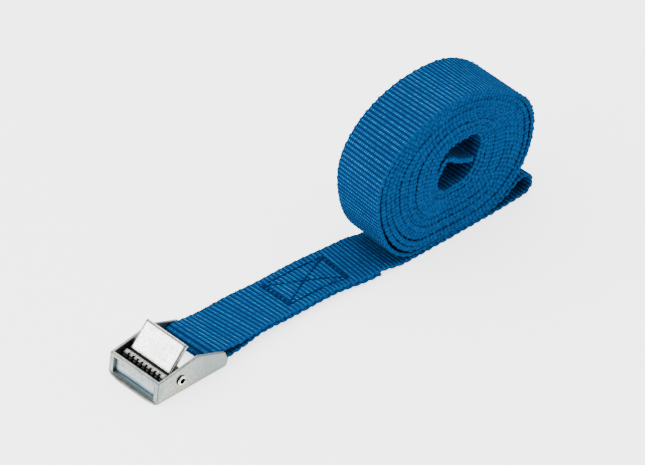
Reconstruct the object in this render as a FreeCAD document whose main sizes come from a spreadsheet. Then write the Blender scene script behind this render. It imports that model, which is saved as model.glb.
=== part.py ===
import FreeCAD, Part
import Sketcher
import math
import os
import re

# A 25 mm lashing strap with a cam buckle, wound up for storage and lying on a table.
#
# +X runs from the buckle along the strap to the roll, +Y across the strap, +Z up.
# The origin is at the middle of the bottom of the whole strap.  Every length along X
# below is counted from the front of the buckle and moved by "origin_shift" at the end.

DIMENSIONS = (
    ("origin_shift", 98.0, "front of the buckle to the middle of the strap"),
    ("webbing_width", 25.0, "webbing"),
    ("webbing_thick", 1.7, "webbing"),
    ("frame_width", 27.4, "outside of one wall to outside of the other"),
    ("sheet_thick", 1.1, "the frame's steel sheet"),
    ("front_top_x", 1.3, "the walls' front edge leans back to here"),
    ("front_top_z", 9.7, "height of the walls at the front"),
    ("crest_x", 21.2, "highest point of the walls"),
    ("crest_z", 12.6, "highest point of the walls"),
    ("rear_top_x", 34.8, "walls' upper rear corner"),
    ("rear_top_z", 7.2, "walls' upper rear corner"),
    ("rear_x", 36.1, "rearmost point of the walls"),
    ("rear_z", 3.3, "rearmost point of the walls"),
    ("heel_x", 35.2, "lower rear corner of the walls"),
    ("heel_z", 1.0, "lower rear corner of the walls"),
    ("foot_x", 32.9, "rear end of the walls' rear foot"),
    ("window_step", 0.35, "the walls stand off the table beside the window"),
    ("floor_end", 15.6, "rear edge of the floor plate"),
    ("step_front", 17.0, "front end of the step in the walls' lower edge"),
    ("step_rear", 29.4, "rear end of the step in the walls' lower edge"),
    ("lip_reach", 0.8, "floor plate in front of the front wall"),
    ("lip_flat", 16.4, "length of the lip's straight edge"),
    ("dish_depth", 1.3, "recess pressed into the front wall"),
    ("dish_width", 22.9, "recess pressed into the front wall"),
    ("dish_low", 1.8, "lower edge of the recess"),
    ("dish_high", 8.4, "upper edge of the recess"),
    ("dish_draft", 0.4, "slope of the recess's upper and lower sides"),
    ("bend_outer", 1.0, "outer radius of the bends along the walls"),
    ("bar_x", 30.8, "middle of the strap bar"),
    ("bar_z", 4.7, "middle of the strap bar"),
    ("bar_long", 3.4, "strap bar, along X"),
    ("bar_high", 2.4, "strap bar, along Z"),
    ("pin_x", 12.4, "pivot pin"),
    ("pin_z", 6.0, "pivot pin"),
    ("pin_radius", 2.0, "slotted spring pin, outside"),
    ("pin_bore", 1.15, "slotted spring pin, inside radius"),
    ("pin_length", 29.3, "slotted spring pin"),
    ("pin_slot", 0.7, "width of its slot"),
    ("pin_chamfer", 0.35, "chamfer of its ends"),
    ("lever_width", 22.4, "cam lever"),
    ("lever_fit", 0.05, "clearance of the lever's bore on the pin"),
    ("hub_radius", 3.0, "boss around the pin"),
    ("cam_x", 10.9, "centre of the toothed arc"),
    ("cam_z", 5.8, "centre of the toothed arc"),
    ("cam_radius", 5.9, "over the teeth"),
    ("cam_low", 1.4, "lowest point of the cam"),
    ("ledge_x", 7.3, "front edge of the flat ledge above the teeth"),
    ("ledge_z", 9.3, "flat ledge above the teeth"),
    ("brow_z", 8.9, "upper end of the teeth"),
    ("groove_front", 7.5, "groove between the ledge and the thumb plate"),
    ("groove_floor", 8.2, "groove between the ledge and the thumb plate"),
    ("plate_x", 9.1, "lower edge of the thumb plate's face"),
    ("plate_long", 12.4, "thumb plate, along its slope"),
    ("plate_thick", 1.4, "thumb plate"),
    ("plate_slope", 47.5, "thumb plate's slope, in degrees"),
    ("plate_chamfer", 0.4, "around the thumb plate's face"),
    ("tooth_depth", 0.8, "teeth"),
    ("tooth_gap", 0.9, "gap between two rows of teeth"),
    ("ridge_pitch", 2.45, "from one ridge of teeth to the next"),
    ("ridge_gap", 1.1, "gap between two ridges"),
    ("ridge_depth", 1.1, "depth of those gaps"),
    ("ridge_arc", 75, "how far those gaps go round the cam, in degrees"),
    ("ridge_gaps", 8, "number of gaps between the ridges"),
    ("notch_width", 6.4, "slot in the lever for the spring"),
    ("notch_radius", 3.8, "slot in the lever for the spring"),
    ("wire", 0.8, "spring wire, diameter"),
    ("coil_radius", 2.75, "spring coil, to the middle of its wire"),
    ("coil_pitch", 0.95, "spring coil"),
    ("coil_turns", 5, "spring coil"),
    ("leg_down", 4.8, "spring's leg to the floor plate"),
    ("leg_up", 7.2, "spring's leg to the thumb plate"),
    ("seam_gap", 0.3, "thickness of the bobbin thread under the tail"),
    ("needle_thick", 0.4, "height of the needle thread on the webbing"),
    ("seam_start", 74.2, "front end of the seam box"),
    ("seam_long", 30.0, "seam box, along the strap"),
    ("seam_wide", 16.4, "seam box, across the strap"),
    ("seam_row", 1.0, "width of a row of stitches"),
    ("seam_end_row", 2.6, "width of the dense rows at the two ends"),
    ("roll_left", 114.4, "roll's nearest point to the buckle"),
    ("roll_right", 196.3, "roll's furthest point from the buckle"),
    ("roll_top", 66.2, "height of the roll"),
    ("roll_half_high", 31.2, "from the roll's widest level to its top"),
    ("roll_rest_start", 135.6, "front end of the roll's flat underside"),
    ("void_x", 155.9, "middle of the space inside the roll"),
    ("void_z", 34.3, "middle of the space inside the roll"),
    ("void_long", 14.0, "space inside the roll, between its rounded ends"),
    ("void_radius", 5.0, "space inside the roll, rounded ends"),
    ("void_slope", 36.0, "space inside the roll, in degrees"),
    ("loop_x", 27.8, "webbing loop's outer corners, middle of the webbing"),
    ("loop_top", 8.25, "webbing loop's upper corner, middle of the webbing"),
    ("loop_low", 1.8, "webbing loop's lower corner, middle of the webbing"),
    ("loop_turn", 3.0, "radius of the loop's corners"),
    ("loop_end", 43.2, "where the loop joins the tail and the lead"),
    ("landing_x", 38.2, "the loop's lower side reaches the tail's level"),
    ("sag_x", 49.2, "the lead bends here on its way down from the bar"),
    ("sag_z", 4.6, "the lead bends here on its way down from the bar"),
    ("lead_flat", 72.2, "the lead lies flat on the tail from here"),
    ("tail_end", 116.6, "end of the sewn-back tail"),
    ("settle", 128.6, "the lead has come down to the table"),
    ("bend_x", 191.45, "middle of the fold at the far end"),
    ("bend_radius", 4.5, "the fold at the far end, middle of the webbing"),
    ("return_slope_x", 179.5, "the return comes down from the fold"),
    ("return_slope_z", 4.9, "the return comes down from the fold"),
    ("return_flat", 170.5, "the return lies flat on the first layer from here"),
    ("return_end", 131.6, "front end of the return"),
)

SHEET_NAME = "Dimensions"
TOOTH_ROWS = (24.0, 3.0, -18.0, -39.0)      # degrees above straight forward, about the cam's centre

document = FreeCAD.newDocument("cam_buckle_strap")
sheet = document.addObject("Spreadsheet::Sheet", SHEET_NAME)
for row, (alias, value, remark) in enumerate(DIMENSIONS, start=1):
    sheet.set(f"A{row}", str(value))
    sheet.setAlias(f"A{row}", alias)
    sheet.set(f"B{row}", remark)
document.recompute()
ALIASES = {alias for alias, _, _ in DIMENSIONS}


# ---------------------------------------------------------------- expressions and features

def bound(text):
    """The expression text with the sheet's name put in front of each alias."""
    return re.sub(r"[a-z_]+", lambda m: f"{SHEET_NAME}.{m[0]}" if m[0] in ALIASES else m[0], str(text))


def size(text):
    """The value of an expression, such as size("pin_radius + lever_fit")."""
    return float(sheet.evalExpression(bound(text)))


def new_body(label, along="-origin_shift", up="0"):
    """A PartDesign body, placed along X and up Z."""
    body = document.addObject("PartDesign::Body", label)
    body.Label = label
    body.setExpression("Placement.Base.x", bound(along))
    body.setExpression("Placement.Base.z", bound(up))
    return body


def new_sketch(body, name, role, shift=("0", "0", "0"), turn=0.0):
    """An empty sketch on one of the body's own origin planes, moved and turned within that plane."""
    plane = next(feature for feature in body.Origin.OriginFeatures if feature.Role == role)
    sketch = body.newObject("Sketcher::SketchObject", name)
    sketch.AttachmentSupport = [(plane, "")]
    sketch.MapMode = "FlatFace"
    spin = FreeCAD.Rotation(FreeCAD.Vector(0, 0, 1), turn)
    sketch.AttachmentOffset = FreeCAD.Placement(FreeCAD.Vector(*(size(part) for part in shift)), spin)
    for axis, part in zip("xyz", shift):
        sketch.setExpression(f"AttachmentOffset.Base.{axis}", bound(part))
    return sketch


def pin_point(sketch, curve, point, place, name):
    """Two distances from the sketch's origin that hold one point of a curve."""
    for kind, text, letter in (("DistanceX", place[0], "u"), ("DistanceY", place[1], "v")):
        index = sketch.addConstraint(Sketcher.Constraint(kind, -1, 1, curve, point, size(text)))
        sketch.renameConstraint(index, f"{letter}_{name}")
        sketch.setExpression(f"Constraints.{letter}_{name}", bound(text))


def polygon(sketch, corners):
    """Straight lines through the corners, each corner given by two expressions."""
    points = [FreeCAD.Vector(size(u), size(v), 0) for u, v in corners]
    count = len(points)
    for i in range(count):
        sketch.addGeometry(Part.LineSegment(points[i], points[(i + 1) % count]), False)
    for i in range(count):
        sketch.addConstraint(Sketcher.Constraint("Coincident", i, 2, (i + 1) % count, 1))
    for i, corner in enumerate(corners):
        pin_point(sketch, i, 1, corner, f"corner{i}")
    return sketch


def circle(sketch, centre, radius):
    """One circle, its centre and radius given by expressions."""
    middle = FreeCAD.Vector(size(centre[0]), size(centre[1]), 0)
    sketch.addGeometry(Part.Circle(middle, FreeCAD.Vector(0, 0, 1), size(radius)), False)
    pin_point(sketch, 0, 3, centre, "centre")
    index = sketch.addConstraint(Sketcher.Constraint("Radius", 0, size(radius)))
    sketch.renameConstraint(index, "radius")
    sketch.setExpression("Constraints.radius", bound(radius))
    return sketch


def volume_step(body, feature, grows):
    """Recomputes and stops the script if the feature added or removed nothing."""
    before = feature.BaseFeature.Shape.Volume if feature.BaseFeature else 0.0
    document.recompute()
    change = feature.Shape.Volume - before
    if (change > 1e-3) != grows or abs(change) <= 1e-3:
        raise RuntimeError(f"{body.Label}: {feature.Label} changed the volume by {change:.4f} mm3")


def extrude(body, sketch, width, cut=False):
    """Pads or cuts the sketch evenly to both sides of its plane."""
    kind = "PartDesign::Pocket" if cut else "PartDesign::Pad"
    feature = body.newObject(kind, f"{sketch.Name}_{'cut' if cut else 'pad'}")
    feature.Profile = sketch
    feature.SideType = "Symmetric"
    feature.setExpression("Length", bound(width))
    volume_step(body, feature, grows=not cut)
    return feature


def side_pad(body, name, corners, width):
    return extrude(body, polygon(new_sketch(body, name, "XZ_Plane"), corners), width)


def side_cut(body, name, corners, width):
    return extrude(body, polygon(new_sketch(body, name, "XZ_Plane"), corners), width, cut=True)


def dress(body, kind, wanted, amount):
    """A Fillet or Chamfer on every edge of the body that wanted(edge) picks."""
    base = body.Tip
    names = [f"Edge{i}" for i, edge in enumerate(base.Shape.Edges, start=1) if wanted(edge)]
    feature = body.newObject(f"PartDesign::{kind}", kind.lower())
    feature.Base = (base, names)
    feature.setExpression("Radius" if kind == "Fillet" else "Size", bound(amount))
    document.recompute()
    if not names or abs(feature.Shape.Volume - base.Shape.Volume) < 1e-4:
        raise RuntimeError(f"{body.Label}: a {kind} changed nothing")
    return feature


def crosswise_at(*places):
    """Picks the edges along Y that pass through one of the places (x, z)."""
    def wanted(edge):
        ends = [vertex.Point for vertex in edge.Vertexes]
        if len(ends) != 2 or abs(ends[0].y - ends[1].y) < 0.5:
            return False
        return any(all(math.hypot(end.x - x, end.z - z) < 0.05 for end in ends) for x, z in places)
    return wanted


# ---------------------------------------------------------------- the buckle's steel pieces

def make_frame():
    """One pressed sheet: two walls, a floor plate with a lip, a dished front wall and the strap bar."""
    body = new_body("buckle_frame")
    side_pad(body, "wall_outline", (
        ("0", "0"), ("step_front - window_step", "0"), ("step_front", "window_step"),
        ("step_rear", "window_step"), ("step_rear + window_step", "0"), ("foot_x", "0"),
        ("heel_x", "heel_z"), ("rear_x", "rear_z"), ("rear_top_x", "rear_top_z"),
        ("crest_x", "crest_z"), ("front_top_x", "front_top_z")), "frame_width")
    lean = "front_top_x / front_top_z"
    inner_width = "frame_width - 2 * sheet_thick"
    high = "crest_z + 5"
    side_cut(body, "hollow", (
        (f"sheet_thick + sheet_thick * {lean}", "sheet_thick"), ("floor_end", "sheet_thick"),
        ("floor_end", "-1"), ("rear_x + 5", "-1"), ("rear_x + 5", high),
        (f"sheet_thick + ({high}) * {lean}", high)), inner_width)
    dress(body, "Fillet", crosswise_at(
        (size("rear_x"), size("rear_z")), (size("heel_x"), size("heel_z")), (size("foot_x"), 0.0),
        (size("crest_x"), size("crest_z")), (size("rear_top_x"), size("rear_top_z"))), "0.9")
    dress(body, "Fillet", outer_bends, "bend_outer")
    half = "(frame_width / 2 - bend_outer)"
    lip = polygon(new_sketch(body, "lip", "XY_Plane", ("0", "0", "sheet_thick / 2")), (
        ("0.5", f"-{half}"), ("0", f"-{half}"), ("-lip_reach", "-lip_flat / 2"),
        ("-lip_reach", "lip_flat / 2"), ("0", half), ("0.5", half)))
    extrude(body, lip, "sheet_thick")
    skin = "sheet_thick"
    side_pad(body, "dish_back", (
        (f"{skin} * (1 + {lean}) - 0.2", skin),
        (f"{skin} * (1 + {lean}) + dish_depth", skin),
        (f"{skin} + dish_high * {lean} + dish_depth", "dish_high"),
        (f"{skin} + (dish_high + 0.9) * {lean} - 0.2", "dish_high + 0.9")), inner_width)
    side_cut(body, "dish", (
        (f"dish_low * {lean} - 2", "dish_low"),
        (f"dish_low * {lean}", "dish_low"),
        (f"(dish_low + dish_draft) * {lean} + dish_depth", "dish_low + dish_draft"),
        (f"(dish_high - dish_draft) * {lean} + dish_depth", "dish_high - dish_draft"),
        (f"dish_high * {lean}", "dish_high"),
        (f"dish_high * {lean} - 2", "dish_high")), "dish_width")
    bar_round = "bar_high / 2 - 0.05"
    left, right = "bar_x - bar_long / 2", "bar_x + bar_long / 2"
    low, top = "bar_z - bar_high / 2", "bar_z + bar_high / 2"
    side_pad(body, "strap_bar", ((left, low), (right, low), (right, top), (left, top)),
             f"{inner_width} + 0.4")
    corners = [(size(x), size(z)) for x in (left, right) for z in (low, top)]
    dress(body, "Fillet", crosswise_at(*corners), bar_round)
    hole = circle(new_sketch(body, "pin_hole", "XZ_Plane"), ("pin_x", "pin_z"), "pin_radius")
    extrude(body, hole, "frame_width + 2", cut=True)
    return body


def outer_bends(edge):
    """The edges along X where the floor plate turns up into the walls."""
    if len(edge.Vertexes) != 2:
        return False
    first, second = (vertex.Point for vertex in edge.Vertexes)
    level = max(abs(first.z), abs(second.z)) < 1e-3
    outside = all(abs(abs(point.y) - size("frame_width / 2")) < 1e-3 for point in (first, second))
    return level and outside and min(first.x, second.x) < 1.0 and edge.Length > 5.0


def make_lever():
    """The cast cam lever: a thumb plate, a boss on the pin and a toothed cam below them."""
    body = new_body("cam_lever")
    cam = circle(new_sketch(body, "cam", "XZ_Plane"), ("cam_x", "cam_z"), "cam_radius")
    extrude(body, cam, "lever_width")
    far = "(cam_radius + 3)"
    side_cut(body, "cam_underside", (
        (f"cam_x - {far}", "cam_low"), (f"cam_x + {far}", "cam_low"),
        (f"cam_x + {far}", f"cam_z - {far}"), (f"cam_x - {far}", f"cam_z - {far}")), "lever_width")
    side_cut(body, "cam_brow", (
        (f"cam_x - {far}", "brow_z"), ("ledge_x - 1.3", "brow_z"), ("ledge_x", "ledge_z"),
        (f"cam_x + {far}", "ledge_z"), (f"cam_x + {far}", f"cam_z + {far}"),
        (f"cam_x - {far}", f"cam_z + {far}")), "lever_width")
    side_cut(body, "cam_rear", (
        ("pin_x", "0"), (f"cam_x + {far}", "0"), (f"cam_x + {far}", f"cam_z + {far}"),
        ("pin_x", f"cam_z + {far}")), "lever_width")
    cut_teeth(body)
    hub = circle(new_sketch(body, "hub", "XZ_Plane"), ("pin_x", "pin_z"), "hub_radius")
    extrude(body, hub, "lever_width")
    along, across = "cos(plate_slope)", "sin(plate_slope)"
    rear_x, rear_z = f"plate_x + plate_thick * {across}", f"ledge_z - plate_thick * {along}"
    side_pad(body, "thumb_plate", (
        ("plate_x", "ledge_z"),
        (f"plate_x + plate_long * {along}", f"ledge_z + plate_long * {across}"),
        (f"{rear_x} + plate_long * {along}", f"{rear_z} + plate_long * {across}"),
        (f"{rear_x} + 4 * {along}", f"{rear_z} + 4 * {across}"),
        ("pin_x + 2.4", "pin_z + 1.8"), ("pin_x", "pin_z"), ("plate_x", "pin_z + 1")), "lever_width")
    dress(body, "Chamfer", plate_face_edge, "plate_chamfer")
    side_cut(body, "groove", (
        ("groove_front", "groove_floor"), ("plate_x", "groove_floor"),
        ("plate_x", "ledge_z + 0.05"), ("groove_front", "ledge_z + 0.05")), "lever_width")
    room = circle(new_sketch(body, "spring_room", "XZ_Plane"), ("pin_x", "pin_z"), "notch_radius")
    extrude(body, room, "notch_width", cut=True)
    side_cut(body, "spring_exit", (
        ("pin_x", "pin_z - notch_radius"), ("pin_x + 6", "pin_z - notch_radius"),
        ("pin_x + 6", "pin_z + 4.6"), ("pin_x", "pin_z + 4.6")), "notch_width")
    bore = circle(new_sketch(body, "pin_bore", "XZ_Plane"), ("pin_x", "pin_z"), "pin_radius + lever_fit")
    extrude(body, bore, "lever_width + 2", cut=True)
    return body


def cut_teeth(body):
    """Gaps across the cam, then gaps around it, which leave rows of separate teeth."""
    for index, angle in enumerate(TOOTH_ROWS):
        row = new_sketch(body, f"tooth_row{index}", "XZ_Plane", ("cam_x", "cam_z", "0"), turn=-angle)
        gap = polygon(row, (
            ("-cam_radius - 1", "tooth_gap / 2"), ("-cam_radius - 1", "-tooth_gap"),
            ("tooth_depth - cam_radius", "-tooth_gap / 4"),
            ("tooth_depth - cam_radius", "tooth_gap / 2")))
        extrude(body, gap, "lever_width + 1", cut=True)
    first = "-ridge_pitch * (ridge_gaps - 1) / 2"
    ring = polygon(new_sketch(body, "ridge_gap", "XY_Plane", ("cam_x", "0", "cam_z")), (
        ("-cam_radius - 1", f"{first} - ridge_gap / 2"), ("-cam_radius - 1", f"{first} + ridge_gap / 2"),
        ("ridge_depth - cam_radius", f"{first} + ridge_gap / 2"),
        ("ridge_depth - cam_radius", f"{first} - ridge_gap / 2")))
    groove = body.newObject("PartDesign::Groove", "ridge_gap_cut")
    groove.Profile = ring
    groove.ReferenceAxis = (ring, ["V_Axis"])
    groove.Midplane = True
    groove.Angle = size("ridge_arc")
    volume_step(body, groove, grows=False)
    pattern = body.newObject("PartDesign::LinearPattern", "ridge_gaps")
    pattern.Originals = [groove]
    axis = next(feature for feature in body.Origin.OriginFeatures if feature.Role == "Y_Axis")
    pattern.Direction = (axis, [""])
    pattern.setExpression("Length", bound("ridge_pitch * (ridge_gaps - 1)"))
    pattern.setExpression("Occurrences", bound("ridge_gaps"))
    body.Tip = pattern
    document.recompute()
    if pattern.Shape.Volume > groove.Shape.Volume - 1.0:
        raise RuntimeError("cam_lever: the pattern of gaps cut nothing")


def plate_face_edge(edge):
    """The three free edges around the thumb plate's face."""
    if len(edge.Vertexes) != 2 or edge.Curve.TypeId != "Part::GeomLine":
        return False
    slope = math.radians(size("plate_slope"))
    ends = [vertex.Point for vertex in edge.Vertexes]
    off_face = [abs((p.x - size("plate_x")) * math.sin(slope) - (p.z - size("ledge_z")) * math.cos(slope))
                for p in ends]
    return max(off_face) < 1e-3 and min(p.z for p in ends) > size("ledge_z") - 1e-3 and (
        max(p.z for p in ends) > size("ledge_z") + 1.0)


def make_pin():
    """A rolled spring pin: a chamfered tube with a slot along it, facing the strap."""
    body = new_body("pivot_pin", "pin_x - origin_shift", "pin_z")
    end, shy = "pin_length / 2", "pin_length / 2 - pin_chamfer"
    wall = polygon(new_sketch(body, "tube_wall", "XY_Plane"), (
        ("pin_bore", f"-({end})"), ("pin_radius - pin_chamfer", f"-({end})"), ("pin_radius", f"-({shy})"),
        ("pin_radius", shy), ("pin_radius - pin_chamfer", end), ("pin_bore", end)))
    turned = body.newObject("PartDesign::Revolution", "tube")
    turned.Profile = wall
    turned.ReferenceAxis = (wall, ["V_Axis"])
    turned.Angle = 360
    volume_step(body, turned, grows=True)
    side_cut(body, "slot", (
        ("0.1", "-pin_slot / 2"), ("pin_radius + 1", "-pin_slot / 2"),
        ("pin_radius + 1", "pin_slot / 2"), ("0.1", "pin_slot / 2")), "pin_length + 2")
    return body


def make_spring():
    """A torsion spring: one leg on the floor plate, the coil on the pin, one leg under the thumb plate."""
    rise = size("coil_pitch * coil_turns")
    helix = Part.makeHelix(size("coil_pitch"), rise, size("coil_radius"))
    helix.translate(FreeCAD.Vector(0, 0, -rise / 2))
    coil = helix.Edges[0]
    first, last = coil.valueAt(coil.FirstParameter), coil.valueAt(coil.LastParameter)
    start_way, end_way = coil.tangentAt(coil.FirstParameter), coil.tangentAt(coil.LastParameter)
    foot = first - start_way * size("leg_down")
    head = last + end_way * size("leg_up")
    path = Part.Wire([Part.makeLine(foot, first), coil, Part.makeLine(last, head)])
    section = Part.Wire([Part.Circle(foot, start_way, size("wire / 2")).toShape()])
    solid = path.makePipeShell([section], True, True)
    feature = document.addObject("Part::Feature", "torsion_spring")
    feature.Label = "torsion_spring"
    feature.Shape = solid
    upright = FreeCAD.Rotation(FreeCAD.Vector(1, 0, 0), 90)
    place = FreeCAD.Vector(size("pin_x - origin_shift"), 0, size("pin_z"))
    feature.Placement = FreeCAD.Placement(place, upright)
    return feature


# ---------------------------------------------------------------- the webbing

def soft_part(label, face, width):
    """A face in the XZ plane, widened evenly to both sides along Y, as a Part::Feature."""
    face.translate(FreeCAD.Vector(0, -width / 2, 0))
    feature = document.addObject("Part::Feature", label)
    feature.Label = label
    feature.Shape = face.extrude(FreeCAD.Vector(0, width, 0))
    feature.Placement = FreeCAD.Placement(FreeCAD.Vector(-size("origin_shift"), 0, 0), FreeCAD.Rotation())
    return feature


def ribbon_edges(route, side):
    """The edges of a route of (x, z, corner radius), moved sideways by side; tangent arcs at the corners."""
    points = [FreeCAD.Vector(x, 0, z) for x, z, _ in route]
    edges = []
    last = None
    for i, point in enumerate(points):
        ahead = (points[min(i + 1, len(points) - 1)] - point)
        behind = (point - points[max(i - 1, 0)])
        if i in (0, len(points) - 1):
            way = (ahead if i == 0 else behind).normalize()
            here = point + FreeCAD.Vector(-way.z, 0, way.x) * side
            if last is not None:
                edges.append(Part.makeLine(last, here))
            last = here
            continue
        ahead.normalize()
        behind.normalize()
        turn = math.atan2(behind.x * ahead.z - behind.z * ahead.x, behind.dot(ahead))
        radius = route[i][2]
        reach = radius * math.tan(abs(turn) / 2)
        hand = math.copysign(1.0, turn)
        left = FreeCAD.Vector(-behind.z, 0, behind.x)
        centre = point - behind * reach + left * (radius * hand)
        offset_radius = radius - side * hand
        entry = centre - left * (offset_radius * hand)
        left_ahead = FreeCAD.Vector(-ahead.z, 0, ahead.x)
        leave = centre - left_ahead * (offset_radius * hand)
        outward = (entry - centre).normalize() + (leave - centre).normalize()
        middle = centre + outward.normalize() * offset_radius
        edges.append(Part.makeLine(last, entry))
        edges.append(Part.Arc(entry, middle, leave).toShape())
        last = leave
    return edges


def ribbon(route):
    """The side view of a band of webbing along the route, as a face."""
    half = size("webbing_thick / 2")
    upper, lower = ribbon_edges(route, half), ribbon_edges(route, -half)
    starts = [edges[0].firstVertex(True).Point for edges in (upper, lower)]
    ends = [edges[-1].lastVertex(True).Point for edges in (upper, lower)]
    closing = [Part.makeLine(*starts), Part.makeLine(*ends)]
    return Part.Face(Part.Wire(Part.__sortEdges__(upper + lower + closing)))


# Heights of the middle of the webbing where it lies flat, and the points that the bands share.
half_thick = size("webbing_thick / 2")
on_table = half_thick
on_first_layer = 3 * half_thick
tail_level = size("seam_gap") + half_thick
lead_level = tail_level + 2 * half_thick
bend_x, bend_radius = size("bend_x"), size("bend_radius")
loop_end, tail_end, settle = size("loop_end"), size("tail_end"), size("settle")
LOOP_TOP = (size("loop_x"), size("loop_top"))
SAG = (size("sag_x"), size("sag_z"))
upper_slope = (SAG[1] - LOOP_TOP[1]) / (SAG[0] - LOOP_TOP[0])
loop_end_z = LOOP_TOP[1] + upper_slope * (loop_end - LOOP_TOP[0])
TIGHT, EASY, WIDE, WIDEST = 3.0, 14.0, 25.0, 60.0       # radii of the bends where it runs free


def make_webbing():
    """One length of webbing, cut into bands that meet face to face."""
    width = size("webbing_width")
    turn = size("loop_turn")
    soft_part("webbing_loop", ribbon((
        (loop_end, loop_end_z, 0), (*LOOP_TOP, turn), (size("loop_x"), size("loop_low"), turn),
        (size("landing_x"), tail_level, WIDE), (loop_end, tail_level, 0))), width)
    soft_part("webbing_tail", ribbon(((loop_end, tail_level, 0), (tail_end, tail_level, 0))), width)
    drop_start, drop_end = size("tail_end + 2"), size("settle - 2")
    soft_part("webbing_lead", ribbon((
        (loop_end, loop_end_z, 0), (*SAG, WIDEST), (size("lead_flat"), lead_level, WIDEST),
        (drop_start, lead_level, EASY), (drop_end, on_table, EASY), (settle, on_table, 0))), width)
    soft_part("webbing_table_run", ribbon(((settle, on_table, 0), (bend_x, on_table, 0))), width)
    bend_top = on_table + 2 * bend_radius
    soft_part("webbing_end_fold", bend_face(bend_x, on_table + bend_radius), width)
    soft_part("webbing_return", ribbon((
        (bend_x, bend_top, 0), (size("bend_x - 2.2"), bend_top, TIGHT),
        (size("return_slope_x"), size("return_slope_z"), WIDE),
        (size("return_flat"), on_first_layer, WIDE), (size("return_end"), on_first_layer, 0))), width)
    soft_part("webbing_roll", roll_face(), width)


def bend_face(x, z):
    """Half a ring of webbing, open towards the buckle."""
    outer, inner = bend_radius + half_thick, bend_radius - half_thick
    edges = []
    for radius in (outer, inner):
        edges.append(Part.Arc(FreeCAD.Vector(x, 0, z - radius), FreeCAD.Vector(x + radius, 0, z),
                              FreeCAD.Vector(x, 0, z + radius)).toShape())
    for sign in (-1, 1):
        edges.append(Part.makeLine(FreeCAD.Vector(x, 0, z + sign * inner),
                                   FreeCAD.Vector(x, 0, z + sign * outer)))
    return Part.Face(Part.Wire(Part.__sortEdges__(edges)))


def oval_arc(centre, reach_x, reach_z, start, end):
    """An arc of an upright ellipse in the XZ plane, from angle start to end in degrees, X towards Z."""
    middle = FreeCAD.Vector(centre[0], 0, centre[1])
    side, top = FreeCAD.Vector(reach_x, 0, 0), FreeCAD.Vector(0, 0, reach_z)
    if reach_x >= reach_z:
        ellipse, first = Part.Ellipse(middle + side, middle + top, middle), 0
    else:
        ellipse, first = Part.Ellipse(middle + top, middle - side, middle), 90
    return Part.ArcOfEllipse(ellipse, math.radians(start - first), math.radians(end - first)).toShape()


def roll_face():
    """The wound-up webbing from the side: a flattened oval around a narrow slanting space."""
    rest, middle_z = 4 * half_thick, size("roll_top") - size("roll_half_high")
    left, right = size("roll_left"), size("roll_right")
    drop = middle_z - rest
    rest_start, rest_end = size("roll_rest_start"), right - drop
    outline = Part.Wire([
        Part.makeLine(FreeCAD.Vector(rest_start, 0, rest), FreeCAD.Vector(rest_end, 0, rest)),
        oval_arc((rest_end, middle_z), drop, drop, 270, 360),
        oval_arc(((left + right) / 2, middle_z), (right - left) / 2, size("roll_half_high"), 0, 180),
        oval_arc((rest_start, middle_z), rest_start - left, drop, 180, 270)])
    slope = math.radians(size("void_slope"))
    way = FreeCAD.Vector(math.cos(slope), 0, math.sin(slope))
    side = FreeCAD.Vector(-way.z, 0, way.x)
    middle = FreeCAD.Vector(size("void_x"), 0, size("void_z"))
    half_long, radius = size("void_long / 2"), size("void_radius")
    far, near = middle + way * half_long, middle - way * half_long
    space = Part.Wire([
        Part.makeLine(near + side * radius, far + side * radius),
        Part.Arc(far + side * radius, far + way * radius, far - side * radius).toShape(),
        Part.makeLine(far - side * radius, near - side * radius),
        Part.Arc(near - side * radius, near - way * radius, near + side * radius).toShape()])
    return Part.Face(outline).cut(Part.Face(space)).Faces[0]


# ---------------------------------------------------------------- the seam

def make_thread(label, level, thick):
    """One thread of the seam: a box with a cross in it, dense at its two ends."""
    start, reach = "seam_start - origin_shift", "seam_start + seam_long - origin_shift"
    half = "seam_wide / 2"
    bars = [("seam_end_row", "seam_wide", start, f"-({half})", "0"),
            ("seam_end_row", "seam_wide", f"{reach} - seam_end_row", f"-({half})", "0"),
            ("seam_long", "seam_row", start, f"-({half})", "0"),
            ("seam_long", "seam_row", start, f"{half} - seam_row", "0")]
    lean = "atan((seam_wide - seam_row) / (seam_long - seam_end_row))"
    long = "sqrt(pow(seam_wide - seam_row; 2) + pow(seam_long - seam_end_row; 2))"
    for hand in ("1", "-1"):
        bars.append((long, "seam_row", "seam_start + seam_long / 2 - origin_shift", "0",
                     f"{hand} * {lean}"))
    boxes = []
    for index, (length, width, along, across, turn) in enumerate(bars):
        box = document.addObject("Part::Box", f"{label}_row{index}")
        box.setExpression("Length", bound(length))
        box.setExpression("Width", bound(width))
        box.setExpression("Height", bound(thick))
        angle = size(turn) if turn != "0" else 0.0
        box.Placement.Rotation = FreeCAD.Rotation(FreeCAD.Vector(0, 0, 1), angle)
        box.setExpression("Placement.Base.z", bound(level))
        centred = turn != "0"
        tilt = f"({turn})"
        back_x = f" - ({length}) / 2 * cos{tilt} + ({width}) / 2 * sin{tilt}" if centred else ""
        back_y = f" - ({length}) / 2 * sin{tilt} - ({width}) / 2 * cos{tilt}" if centred else ""
        box.setExpression("Placement.Base.x", bound(along + back_x))
        box.setExpression("Placement.Base.y", bound(across + back_y))
        boxes.append(box)
    thread = document.addObject("Part::MultiFuse", label)
    thread.Label = label
    thread.Shapes = boxes
    return thread


# ---------------------------------------------------------------- the whole strap

make_frame()
make_lever()
make_pin()
make_spring()
make_webbing()
make_thread("needle_thread", "seam_gap + 2 * webbing_thick", "needle_thick")
make_thread("bobbin_thread", "0", "seam_gap")
document.recompute()

NODES = ("buckle_frame", "cam_lever", "pivot_pin", "torsion_spring", "webbing_loop", "webbing_tail",
         "webbing_lead", "webbing_table_run", "webbing_end_fold", "webbing_return", "webbing_roll",
         "needle_thread", "bobbin_thread")

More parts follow.
